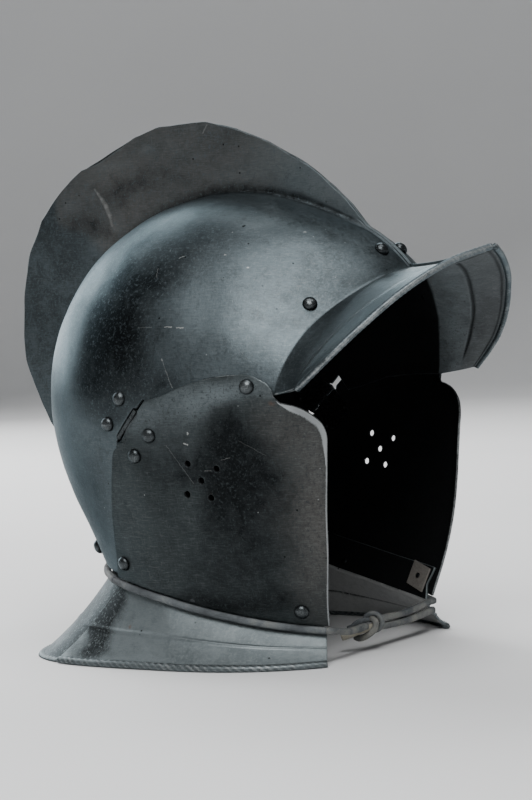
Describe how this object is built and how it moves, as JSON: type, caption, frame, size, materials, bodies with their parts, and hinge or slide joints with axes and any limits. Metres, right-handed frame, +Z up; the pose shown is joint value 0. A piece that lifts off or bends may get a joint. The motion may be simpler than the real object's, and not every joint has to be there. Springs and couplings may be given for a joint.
{
  "type": "burgonet helmet",
  "caption": "Open steel helmet with a tall comb, a pointed peak over the brow, hinged cheekpieces with flared neck plates, and a leather lace tied in front.",
  "frame": {"origin": "on the plane that the lower edge stands on, under the middle of the helmet's box", "axes": "+X to the wearer's left, +Y to the back, +Z up"},
  "size_m": [0.2194, 0.3257, 0.3058],
  "materials": {
    "blackened_steel": "blackened and worn, satin",
    "rivet_steel": "domed, satin, worn bright on top",
    "hinge_steel": "dark, hammered",
    "lace": "grey-brown, dry, with pale cut edges"
  },
  "bodies": {
    "skull": {"skull_left": "blackened_steel", "skull_right": "blackened_steel", "nape_plate": "blackened_steel", "rivet_brow_front_left": "rivet_steel", "rivet_brow_front_right": "rivet_steel", "rivet_brow_side_left": "rivet_steel", "rivet_brow_side_right": "rivet_steel", "hinge_skull_leaf_left": "hinge_steel", "hinge_skull_leaf_right": "hinge_steel", "hinge_pin_left": "hinge_steel", "hinge_pin_right": "hinge_steel", "rivet_hinge_skull_upper_left": "rivet_steel", "rivet_hinge_skull_upper_right": "rivet_steel", "rivet_hinge_skull_lower_left": "rivet_steel", "rivet_hinge_skull_lower_right": "rivet_steel", "rivet_nape_left": "rivet_steel", "rivet_nape_right": "rivet_steel", "lace_nape": "lace"},
    "cheekpiece_left": {"cheek_left": "blackened_steel", "gorget_plate_left": "blackened_steel", "hinge_cheek_leaf_left": "hinge_steel", "rivet_hinge_cheek_upper_left": "rivet_steel", "rivet_hinge_cheek_lower_left": "rivet_steel", "rivet_lobe_left": "rivet_steel", "rivet_gorget_front_left": "rivet_steel", "rivet_gorget_rear_left": "rivet_steel", "rivet_gorget_middle_left": "rivet_steel", "washer_gorget_left": "hinge_steel", "lace_side_left": "lace", "lace_front_upper": "lace", "lace_front_lower": "lace", "lace_knot": "lace"},
    "cheekpiece_right": {"cheek_right": "blackened_steel", "gorget_plate_right": "blackened_steel", "hinge_cheek_leaf_right": "hinge_steel", "rivet_hinge_cheek_upper_right": "rivet_steel", "rivet_hinge_cheek_lower_right": "rivet_steel", "rivet_lobe_right": "rivet_steel", "rivet_gorget_front_right": "rivet_steel", "rivet_gorget_rear_right": "rivet_steel", "rivet_gorget_middle_right": "rivet_steel", "washer_gorget_right": "hinge_steel", "lace_side_right": "lace", "lace_front_right": "lace"}
  },
  "joints": [
    {"name": "cheek_hinge_left", "type": "hinge", "parent": "skull", "child": "cheekpiece_left", "pos_m": [0.10384, 0.01293, 0.13778], "axis": [0.1338, -0.6753, 0.7253], "range_deg": [0, 80]},
    {"name": "cheek_hinge_right", "type": "hinge", "parent": "skull", "child": "cheekpiece_right", "pos_m": [-0.10384, 0.01293, 0.13778], "axis": [0.1338, 0.6753, -0.7253], "range_deg": [0, 80]}
  ]
}
